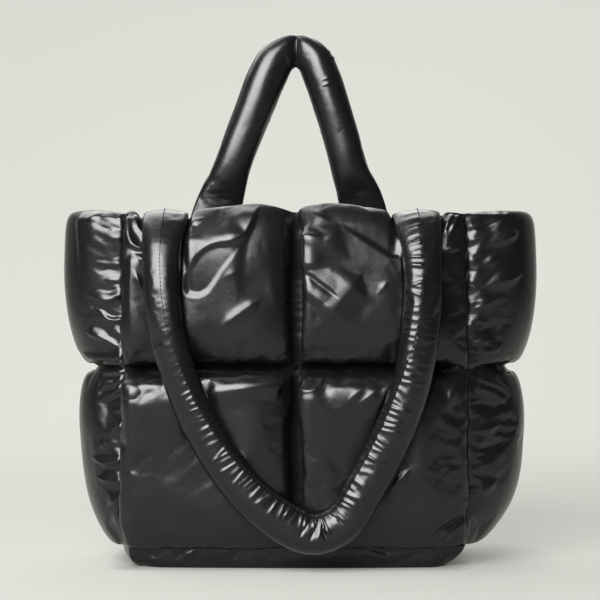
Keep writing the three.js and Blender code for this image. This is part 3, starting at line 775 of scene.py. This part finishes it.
def small_ruches(wall, seed):
    """Short folds at random along a gusset's corner seams, as seen from the front and from the back."""
    rng = np.random.default_rng(seed)
    side = wall["corners"][0][0]
    folds = []
    height = RUCHE["lowest"]
    while height < RUCHE["highest"]:
        length = rng.uniform(*RUCHE["length"])
        start = height + rng.normal(0, RUCHE["tilt"]) * length
        left, right = rng.uniform(*RUCHE["flank"], 2)
        rise = rng.uniform(*RUCHE["rise"])
        path = [(side * (RUCHE["seam"] + length), start), (side * RUCHE["seam"], height)]
        folds.append(dict(path=path, rise=rise, left=left, right=right, sewn=True))
        height += rng.uniform(*RUCHE["pitch"])
    return folds


def dent_points(points, normals, dents):
    """Sinks the points inside each dent's outline, steeply at its edge."""
    flat = points[..., [0, 2]]
    move = np.zeros(points.shape[:-1])
    for dent in dents:
        outline = rounded(dent["outline"], True)
        distance = np.abs(path_distance(flat, outline)[0])
        inside = np.zeros(flat.shape[:-1], bool)
        for (ax, az), (bx, bz) in zip(outline[:-1], outline[1:]):
            crosses = (az > flat[..., 1]) != (bz > flat[..., 1])
            rise = bz - az if bz != az else 1e-9
            inside ^= crosses & (flat[..., 0] < ax + (flat[..., 1] - az) * (bx - ax) / rise)
        signed = np.where(inside, distance, -distance)
        start = np.array(dent["shallow"])
        way = np.array(dent["deep"]) - start
        share = np.clip((flat - start) @ way / (way @ way), 0, 1)
        edge = lerp(*dent["edge"], share)
        move -= lerp(*dent["depth"], share) * smoothstep(signed / edge, *DENT_EDGE)
    return points + normals * move[..., None]


def clear_strap(points):
    """Presses a front wall's points in where the front handle lies on them."""
    centre = route_points(FRONT_ROUTE, STRAP_STEPS + 1)
    size = table_at(FRONT_TUBE, "at", np.linspace(0, 1, STRAP_STEPS + 1))
    outside = centre[:, 1] < STRAP_OUTSIDE
    centre = centre[outside]
    half_width = size["width"][outside] / 2
    half_thickness = size["thickness"][outside] / 2
    flat = points[..., [0, 2]].reshape(-1, 2)
    parts = 40
    nearest = np.concatenate([
        np.argmin(((part[:, None] - centre[None][..., [0, 2]]) ** 2).sum(-1), axis=1)
        for part in np.array_split(flat, parts)
    ])
    distance = np.linalg.norm(flat - centre[nearest][:, [0, 2]], axis=-1)
    bulge = np.clip(1 - (distance / (half_width[nearest] + STRAP_MARGIN)) ** 2, 0, 1)
    behind = centre[nearest][:, 1] + half_thickness[nearest] * np.sqrt(bulge) + STRAP_CLEARANCE
    pressed = points.copy()
    depth = points[..., 1].reshape(-1)
    under = (bulge > 0) & (depth < behind)
    pressed[..., 1] = np.where(under, behind, depth).reshape(points.shape[:-1])
    return pressed


def refine(points, axis, wrap=False):
    """A grid of points with twice as many along one axis, on the smooth curve that they steer."""
    points = np.moveaxis(points, axis, 0)
    if wrap:
        before = np.roll(points, 1, axis=0)
        after = np.roll(points, -1, axis=0)
        kept = (before + 6 * points + after) / 8
        added = (points + after) / 2
        fine = np.stack([kept, added], 1).reshape(-1, *points.shape[1:])
    else:
        kept = points.copy()
        kept[1:-1] = (points[:-2] + 6 * points[1:-1] + points[2:]) / 8
        fine = np.empty((2 * len(points) - 1, *points.shape[1:]))
        fine[::2] = kept
        fine[1::2] = (points[:-1] + points[1:]) / 2
    return np.moveaxis(fine, 0, axis)


def refine_grid(points, wrap=False):
    return refine(refine(points, 0), 1, wrap)


def border_of(index):
    """The points round the edge of a grid, once round."""
    return np.concatenate([index[0, :-1], index[:-1, -1], index[-1, :0:-1], index[:0:-1, 0]])


def sewn_wall(wall, fabric):
    """A closed padded wall: the settled outer fabric, a plain inner one and the edges between them."""
    u, v = wall_grid(wall)
    outer = refine_grid(settled_points(fabric).reshape(*u.shape, 3))
    normals = grid_normals(outer)
    fine_u = refine_grid(u[..., None])[..., 0]
    fine_v = refine_grid(v[..., None])[..., 0]
    from_seam = np.minimum(np.abs(fine_u - np.round(fine_u)), np.abs(fine_v - np.round(fine_v))) * PUFF_SIDE
    free = smoothstep(from_seam, 0, wall["free"])
    from_corner = np.minimum(fine_u, wall["columns"] - fine_u)
    from_border = np.minimum(from_corner, np.minimum(fine_v, ROWS - fine_v)) * PUFF_SIDE
    deep = smoothstep(from_border, 0, SEAM_GROOVE["from_border"])
    groove = SEAM_GROOVE["depth"] * np.exp(-from_seam / SEAM_GROOVE["width"]) * deep
    outer = outer - normals * groove[..., None]
    outer = fold_points(outer, normals, free, wall["folds"], wall["name"] != "back_quilt")
    if wall["columns"] == 1:
        for front in (True, False):
            ruches = small_ruches(wall, wall["seed"] + front)
            outer = fold_points(outer, normals, free, ruches, front)
    if wall["press"] is front_press:
        outer = dent_points(outer, normals, FRONT_DENTS)
        outer = clear_strap(outer)

    inner = wall_points(wall, u[::2, ::2], v[::2, ::2], False)
    count = outer.shape[0] * outer.shape[1]
    outer_index = np.arange(count).reshape(outer.shape[:2])
    inner_index = count + np.arange(inner.shape[0] * inner.shape[1]).reshape(inner.shape[:2])
    faces = grid_quads(*outer.shape[:2]).tolist()
    faces += (grid_quads(*inner.shape[:2])[:, ::-1] + count).tolist()
    outer_border = border_of(outer_index)
    inner_border = border_of(inner_index)
    ratio = len(outer_border) // len(inner_border)
    for i in range(len(inner_border)):
        near = [outer_border[(i * ratio + k) % len(outer_border)] for k in range(ratio, -1, -1)]
        far = [inner_border[i], inner_border[(i + 1) % len(inner_border)]]
        faces.append(near + far)
    piece = new_object(wall["name"], np.concatenate([outer.reshape(-1, 3), inner.reshape(-1, 3)]), faces)
    across = np.concatenate([fine_u.ravel(), u[::2, ::2].ravel()])
    along = np.concatenate([fine_v.ravel(), v[::2, ::2].ravel()])
    mark_cut(piece, across * PUFF_SIDE, along * PUFF_SIDE)
    mark_seams(piece, np.concatenate([from_seam.ravel() < ON_SEAM, np.zeros(inner_index.size, bool)]))
    return piece


def tube_rings(handle):
    """Rings of a stuffed tube; the first point of each lies on its seam."""
    steps = handle["steps"]
    centre = route_points(handle["route"], steps + 1)
    share = np.linspace(0, 1, steps + 1)
    along = unit(np.gradient(centre, axis=0))
    from_end = np.minimum(share, 1 - share)
    upright = np.where(share < 0.5, 1, -1)[:, None] * np.array([0, 0, 1])
    level = 1 - smoothstep(from_end, 0, handle["level_share"])
    along = unit(lerp(along, upright, level[:, None]))
    wide = np.zeros_like(centre)
    turning = np.array([1.0, 0, 0])
    for i in range(steps + 1):
        turning = unit(turning - along[i] * (turning @ along[i]))
        wide[i] = turning
    thick = np.cross(along, wide)
    size = table_at(handle["sections"], "at", share)
    turn = np.radians(table_at(handle["seam"], "at", share)["turn"])
    angle = turn[:, None] + np.linspace(0, 2 * math.pi, TUBE_SIDES, endpoint=False)
    rings = (
        centre[:, None]
        + wide[:, None] * (size["width"][:, None] / 2 * np.sin(angle))[..., None]
        + thick[:, None] * (size["thickness"][:, None] / 2 * np.cos(angle))[..., None]
    )
    return rings, centre, share


HANDLES = [
    dict(name="hanging_handle", node="front_handle", route=FRONT_ROUTE, sections=FRONT_TUBE, seam=FRONT_SEAM,
         puckers=FRONT_PUCKERS, folds=HANGING_FOLDS, steps=FRONT_TUBE_STEPS, level_share=0.01,
         creased=False, seed=11),
    dict(name="standing_handle", node="back_handle", route=BACK_ROUTE, sections=BACK_TUBE, seam=BACK_SEAM,
         puckers=BACK_PUCKERS, folds=STANDING_FOLDS, steps=BACK_TUBE_STEPS, level_share=0.1,
         creased=True, seed=12),
]


def start_tube(handle):
    """The fabric of a handle, held along its seam and at its ends."""
    steps = handle["steps"]
    rings, centre, share = tube_rings(handle)
    rings = lerp(centre[:, None], rings, TUBE_START)
    rings[:, 0] += unit(centre - rings[:, 0]) * SEAM_SINK
    quads = grid_quads(steps + 1, TUBE_SIDES, True)[:, ::-1]
    obj = new_object(handle["name"] + "_fabric", rings.reshape(-1, 3), quads)
    side = np.arange(TUBE_SIDES)
    from_seam = np.minimum(side, TUBE_SIDES - side) * 2 * math.pi / TUBE_SIDES
    pin = np.zeros(rings.shape[:2])
    pin[:, 0] = 1
    pin[:TUBE_PINNED_RINGS] = 1
    pin[-TUBE_PINNED_RINGS:] = 1
    middle = np.linalg.norm(np.gradient(centre, axis=0), axis=-1)
    own = np.linalg.norm(np.gradient(rings, axis=0), axis=-1)
    gather = TUBE_GATHER
    limit = gather["bend_limit"]
    bent = np.clip(gather["bend_start"] * middle[:, None] / own - 1, 0, limit) / limit
    inside = smoothstep(np.minimum(share, 1 - share), *gather["from_end"])
    pucker = bell(from_seam, gather["turn"])[None] * inside[:, None] * gather["strength"]
    ruche = np.clip(np.maximum(pucker, bent), 0, 1)
    add_cloth(obj, pin.ravel(), ruche.ravel(), TUBE_FABRIC)
    return obj


def pucker_seam(rings, strength, seed):
    """Raises fine gathers on both sides of a handle's seam."""
    rng = np.random.default_rng(seed)
    rows, sides = rings.shape[:2]
    centre = rings.mean(1)
    run = np.concatenate([[0], np.cumsum(np.linalg.norm(np.diff(centre, axis=0), axis=1))])
    angle = np.arange(sides) * 2 * math.pi / sides
    angle = np.where(angle > math.pi, angle - 2 * math.pi, angle)
    force = table_at(strength, "at", run / run[-1])
    move = np.zeros((rows, sides))
    for side, name in ((1, "inner"), (-1, "outer")):
        spot = PUCKER["from_end"]
        while spot < run[-1] - PUCKER["from_end"]:
            width = rng.uniform(*PUCKER["width"])
            reach = rng.uniform(*PUCKER["reach"])
            height = rng.uniform(*PUCKER["height"])
            share = np.clip(side * angle / reach, 0, 1)
            line = spot + rng.normal(0, PUCKER["slant"]) * share
            # Beyond four widths and three slants a pucker is next to nothing
            near = np.abs(run - spot) < 4 * width + 3 * PUCKER["slant"]
            fade = np.where(side * angle > 0, (1 - share) ** PUCKER["fade"], 0)
            move[near] += height * force[name][near, None] * fade * bell(run[near, None] - line, width)
            spot += rng.uniform(*PUCKER["pitch"])
    out = unit(rings - centre[:, None])
    return rings + out * move[..., None]


def crease_apex(rings):
    """Folds the standing handle sharply at its top."""
    away = np.abs(rings[..., 0] - APEX_CREASE["x"])
    near = np.exp(-away / APEX_CREASE["width"]) * (rings[..., 2] > APEX_CREASE["above"])
    middle = APEX_CREASE["middle"]
    creased = rings.copy()
    creased[..., 1] = middle + (rings[..., 1] - middle) * (1 - APEX_CREASE["depth"] * near)
    creased[..., 2] -= APEX_CREASE["notch"] * near
    return creased


def sewn_tube(handle, fabric):
    """A closed stuffed tube with puckers along its seam."""
    rings = settled_points(fabric).reshape(handle["steps"] + 1, TUBE_SIDES, 3)
    rings = refine(refine_grid(rings, True), 0)
    rings = pucker_seam(rings, handle["puckers"], handle["seed"])
    if handle["creased"]:
        rings = crease_apex(rings)
    normals = unit(rings - rings.mean(1)[:, None])
    shown = rings[..., 1] < rings.mean(1)[:, None, 1]
    rings = fold_points(rings, normals, shown, handle["folds"], None)
    rows, sides = rings.shape[:2]
    count = rows * sides
    faces = grid_quads(rows, sides, True)[:, ::-1].tolist()
    faces.append(list(range(sides)))
    faces.append(list(range(count - 1, count - sides - 1, -1)))
    piece = new_object(handle["name"], rings.reshape(-1, 3), faces)
    length = TUBE_CUT["step"] * handle["steps"]
    round_it, along = np.meshgrid(np.linspace(0, TUBE_CUT["round"], sides), np.linspace(0, length, rows))
    mark_cut(piece, round_it, along)
    return piece, rings


def base_ring(out, height):
    """One level of the base's outline, round all walls."""
    ring = []
    for wall in WALLS:
        steps = BASE_STEPS["panel" if wall["columns"] == 2 else "gusset"]
        share = np.arange(steps) / steps
        level = np.full(steps, float(BASE_HEIGHT))
        point, facing, width = wall_line(wall, share, level)
        corner = corner_facing(wall, False, level)
        from_start = share * width
        turn = 1 - smoothstep(from_start, 0, CORNER_BLEND)
        end = corner_facing(wall, True, level)
        end_turn = 1 - smoothstep(width - from_start, 0, CORNER_BLEND)
        facing = unit(lerp(lerp(facing, corner, turn[:, None]), end, end_turn[:, None]))
        near_end = 1 - smoothstep(np.minimum(from_start, width - from_start), 0, BASE_ENDS["width"])
        if wall["columns"] == 1:
            near_end = np.ones(steps)
        on_left, on_right = (
            shape["inset"] * (1 - height / BASE_HEIGHT) ** shape["power"]
            for shape in (BASE_ENDS["left"], BASE_ENDS["right"])
        )
        tuck = np.where(point[:, 0] < 0, on_left, on_right) * near_end
        spot = point + facing * (out - tuck)[:, None]
        ring.append(np.concatenate([spot, np.full((steps, 1), float(height))], -1))
    return np.concatenate(ring)


def start_base():
    """The fabric of the base strip, held along its upper and lower edges."""
    heights = np.linspace(0, BASE_HEIGHT, BASE_STEPS["rows"] + 1)
    outs = table_at(BASE_SECTIONS, "height", heights)["out"]
    rings = np.stack([base_ring(out, height) for out, height in zip(outs, heights)])
    obj = new_object("base_fabric", rings.reshape(-1, 3), grid_quads(len(heights), rings.shape[1], True))
    pin = np.zeros(rings.shape[:2])
    pin[0] = 1
    pin[-1] = 1
    add_cloth(obj, pin.ravel(), np.zeros(pin.size), BASE_FABRIC)
    return obj


def sewn_base(fabric):
    """The padded base strip, closed by a flat underside and a flat floor inside the bag."""
    points = settled_points(fabric)
    around = sum(BASE_STEPS["panel" if wall["columns"] == 2 else "gusset"] for wall in WALLS)
    rings = points.reshape(-1, around, 3)
    rings[..., 2] = np.clip(rings[..., 2], 0, BASE_HEIGHT)
    rings = refine_grid(rings, True)
    normals = unit(rings - rings.mean(1)[:, None]) * (1, 1, 0)
    free = smoothstep(np.minimum(rings[..., 2], BASE_HEIGHT - rings[..., 2]), 0, BASE_FREE)
    for front in (True, False):
        rings = fold_points(rings, normals, free, BASE_FOLDS, front)
    rows, sides = rings.shape[:2]
    faces = grid_quads(rows, sides, True).tolist()
    faces.append(list(range(sides - 1, -1, -1)))
    faces.append(list(range((rows - 1) * sides, rows * sides)))
    piece = new_object("base_pad", rings.reshape(-1, 3), faces)
    round_it = np.linspace(0, BASE_CUT["round"], sides)
    round_it, along = np.meshgrid(round_it, np.linspace(0, BASE_CUT["tall"], rows))
    mark_cut(piece, round_it, along)
    return piece


def shade_smooth(obj, material):
    obj.data.polygons.foreach_set("use_smooth", [True] * len(obj.data.polygons))
    obj.data.materials.append(material)


def finish_piece(obj, node, material):
    """Makes a padded piece stand for a node of the frame."""
    shade_smooth(obj, material)
    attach(obj, "root")
    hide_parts(node)


def make_stitches(name, rings, material):
    """A row of stitches sunk in a handle's seam."""
    seam = rings[:, 0]
    lift = unit(rings[:, 0] - rings.mean(1)) * STITCH["lift"]
    run = np.concatenate([[0], np.cumsum(np.linalg.norm(np.diff(seam, axis=0), axis=1))])
    middles = np.arange(STITCH["from_end"], run[-1] - STITCH["from_end"], STITCH["pitch"])

    def at_middles(values):
        return np.stack([np.interp(middles, run, values[:, axis]) for axis in range(3)], -1)

    spot = at_middles(seam + lift)
    along = unit(at_middles(np.gradient(seam, axis=0)))
    out = unit(at_middles(lift))
    across = np.cross(along, out)
    sides = np.linspace(0, 2 * math.pi, STITCH["sides"], endpoint=False)
    lengths = np.linspace(-1, 1, STITCH["rings"])
    radius = np.sqrt(np.clip(1 - lengths**4, STITCH["thinnest"], 1)) * STITCH["thickness"] / 2
    points = (
        spot[:, None, None]
        + along[:, None, None] * (lengths[:, None] * STITCH["length"] / 2)[None, ..., None]
        + across[:, None, None] * (radius[:, None] * np.cos(sides))[None, ..., None]
        + out[:, None, None] * (radius[:, None] * np.sin(sides))[None, ..., None]
    )
    quads = grid_quads(len(lengths), len(sides), True)
    last = (len(lengths) - 1) * len(sides)
    per = len(lengths) * len(sides)
    faces = []
    for i in range(len(middles)):
        faces += (quads + i * per).tolist()
        faces.append([i * per + k for k in range(len(sides) - 1, -1, -1)])
        faces.append([i * per + last + k for k in range(len(sides))])
    obj = new_object(name, points.reshape(-1, 3), faces)
    shade_smooth(obj, material)
    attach(obj, "root")


def new_material(name, values):
    """A material, its nodes and its shader, with values on the shader's sockets."""
    material = bpy.data.materials.new(name)
    material.use_nodes = True
    shader = material.node_tree.nodes["Principled BSDF"]
    for socket, value in values.items():
        shader.inputs[socket].default_value = value
    return material, material.node_tree, shader


def add_node(tree, kind, links=(), values=(), **settings):
    """A node with its settings, the sockets that feed its inputs and the values of its other inputs."""
    made = tree.nodes.new(kind)
    for name, value in settings.items():
        setattr(made, name, value)
    for name, value in dict(values).items():
        made.inputs[name].default_value = value
    for name, socket in dict(links).items():
        tree.links.new(socket, made.inputs[name])
    return made


def math_node(tree, operation, first, second=None):
    links = {0: first} if second is None else {0: first, 1: second}
    return add_node(tree, "ShaderNodeMath", links, operation=operation).outputs[0]


def map_range(tree, value, source, target, interpolation="LINEAR"):
    values = {"From Min": source[0], "From Max": source[1], "To Min": target[0], "To Max": target[1]}
    made = add_node(tree, "ShaderNodeMapRange", {"Value": value}, values, interpolation_type=interpolation)
    return made.outputs["Result"]


def nylon():
    """Black woven nylon with a soft gloss, fine threads and slight crinkles."""
    material, tree, shader = new_material("black_nylon", {"Specular IOR Level": NYLON["specular"]})
    place = add_node(tree, "ShaderNodeTexCoord").outputs["Object"]

    def noise(look):
        values = {"Scale": look["scale"], "Detail": look["detail"], "Roughness": look["roughness"]}
        return add_node(tree, "ShaderNodeTexNoise", {"Vector": place}, values).outputs["Fac"]

    def threads(along):
        turns = {1: 2 * math.pi / WEAVE["pitch"] / MM}
        angle = add_node(tree, "ShaderNodeMath", {0: along}, turns, operation="MULTIPLY")
        return math_node(tree, "SINE", angle.outputs[0])

    def bump(links, relief):
        values = {"Distance": relief["depth"] * MM, "Strength": relief["strength"]}
        return add_node(tree, "ShaderNodeBump", links, values).outputs["Normal"]

    cut = add_node(tree, "ShaderNodeAttribute", attribute_name="cut").outputs["Vector"]
    axes = add_node(tree, "ShaderNodeSeparateXYZ", {0: cut}).outputs
    weave = math_node(tree, "MULTIPLY", threads(axes["X"]), threads(axes["Y"]))
    crinkled = bump({"Height": noise(CRINKLE_NOISE)}, CRINKLE)
    tints = {"A": NYLON["dark"], "B": NYLON["light"]}
    tint = add_node(tree, "ShaderNodeMix", {"Factor": noise(TINT_NOISE)}, tints, data_type="RGBA")
    looks = {
        "Normal": bump({"Height": weave, "Normal": crinkled}, WEAVE),
        "Roughness": map_range(tree, noise(GLOSS_NOISE), NOISE_SPAN, NYLON["roughness"]),
        "Base Color": tint.outputs["Result"],
    }
    for name, socket in looks.items():
        tree.links.new(socket, shader.inputs[name])
    return material


def thread():
    return new_material("black_thread", THREAD)[0]


def make_camera():
    """The photo's view: level, straight at the front."""
    data = bpy.data.cameras.new("camera")
    data.sensor_width = SENSOR_WIDTH
    data.lens = SENSOR_WIDTH * CAMERA_DISTANCE / VIEW_WIDTH
    camera = bpy.data.objects.new("camera", data)
    camera.location = Vector(CAMERA_AT) * MM
    camera.rotation_euler = (math.pi / 2, 0, 0)
    bpy.context.scene.collection.objects.link(camera)
    bpy.context.scene.camera = camera


def area_light(row):
    data = bpy.data.lights.new(row["name"], "AREA")
    data.shape = "RECTANGLE"
    data.size, data.size_y = Vector(row["size"]) * MM
    data.energy = row["power"]
    light = bpy.data.objects.new(row["name"], data)
    light.location = Vector(row["place"]) * MM
    light.rotation_euler = (Vector(row["aim"]) - Vector(row["place"])).to_track_quat("-Z", "Y").to_euler()
    bpy.context.scene.collection.objects.link(light)


def painted_floor_shadow(tree, place, row):
    """The share of the painted glow that is left at a place near one of the rectangles of painted shadow."""
    steps = [
        ("SUBTRACT", (row["middle"], 0, 0)),
        ("ABSOLUTE", (0, 0, 0)),
        ("SUBTRACT", (row["half_width"], row["half_depth"], 0)),
        ("MAXIMUM", (0, 0, 0)),
    ]
    for operation, amount in steps:
        size = {1: Vector(amount) * MM}
        step = add_node(tree, "ShaderNodeVectorMath", {0: place}, size, operation=operation)
        place = step.outputs["Vector"]
    away = add_node(tree, "ShaderNodeVectorMath", {0: place}, operation="LENGTH").outputs["Value"]
    return map_range(tree, away, (0, row["reach"] * MM), (row["left_over"], 1))


def floor_material():
    """A matt pale floor with a painted glow, graded to the back and the sides, and a painted shadow round the
    bag.
    """
    material, tree, shader = new_material("backdrop", FLOOR)
    place = add_node(tree, "ShaderNodeTexCoord").outputs["Object"]
    axes = add_node(tree, "ShaderNodeSeparateXYZ", {0: place}).outputs
    first, last = FLOOR_GLOW[0]["y"], FLOOR_GLOW[-1]["y"]
    span = map_range(tree, axes["Y"], (first * MM, last * MM), (0, 1))
    ramp = add_node(tree, "ShaderNodeValToRGB", {"Fac": span})
    ramp.color_ramp.interpolation = "EASE"
    stops = ramp.color_ramp.elements
    for row in FLOOR_GLOW:
        at = (row["y"] - first) / (last - first)
        stop = stops[0] if at == 0 else stops[-1] if at == 1 else stops.new(at)
        stop.color = (row["strength"], row["strength"], row["strength"], 1)
    sideways = math_node(tree, "ABSOLUTE", axes["X"])
    side_span = (GLOW_SIDES["full"] * MM, GLOW_SIDES["faint"] * MM)
    shares = [map_range(tree, sideways, side_span, (1, GLOW_SIDES["left_over"]), "SMOOTHSTEP")]
    # Painted shadow round the bag: the glow is dimmed where the bag stands and to its right
    shares += [painted_floor_shadow(tree, place, row) for row in PAINTED_FLOOR_SHADOWS]
    glow = ramp.outputs["Color"]
    for share in shares:
        glow = math_node(tree, "MULTIPLY", glow, share)
    tree.links.new(glow, shader.inputs["Emission Strength"])
    return material


def make_backdrop():
    """A pale floor that curves up into a backdrop."""
    turn = np.linspace(0, math.pi / 2, BACKDROP["bend_points"])
    bend, radius = BACKDROP["bend"], BACKDROP["radius"]
    profile = [(BACKDROP["front"], 0)]
    profile += [(bend + radius * math.sin(a), radius * (1 - math.cos(a))) for a in turn]
    profile.append((bend + radius, BACKDROP["height"]))
    points = [(x, y, z) for y, z in profile for x in (-BACKDROP["half_width"], BACKDROP["half_width"])]
    backdrop = new_object("backdrop", points, grid_quads(len(profile), 2))
    shade_smooth(backdrop, floor_material())


def make_studio():
    scene = bpy.context.scene
    scene.view_settings.view_transform = "Standard"
    world = bpy.data.worlds.new("studio")
    scene.world = world
    world.use_nodes = True
    background = world.node_tree.nodes["Background"]
    for name, value in ROOM_LIGHT.items():
        background.inputs[name].default_value = value
    make_backdrop()
    for row in LIGHTS:
        area_light(row)


make_camera()
make_studio()
black = nylon()
walls = [start_wall(wall) for wall in WALLS]
base = start_base()
tubes = [start_tube(handle) for handle in HANDLES]
run_cloth()
for wall, fabric in zip(WALLS, walls):
    finish_piece(sewn_wall(wall, fabric), wall["node"], black)
finish_piece(sewn_base(base), "base_panel", black)
stitching = thread()
for handle, fabric in zip(HANDLES, tubes):
    piece, rings = sewn_tube(handle, fabric)
    finish_piece(piece, handle["node"], black)
    make_stitches(handle["name"] + "_stitches", rings, stitching)
for fabric in walls + [base] + tubes:
    bpy.data.objects.remove(fabric)
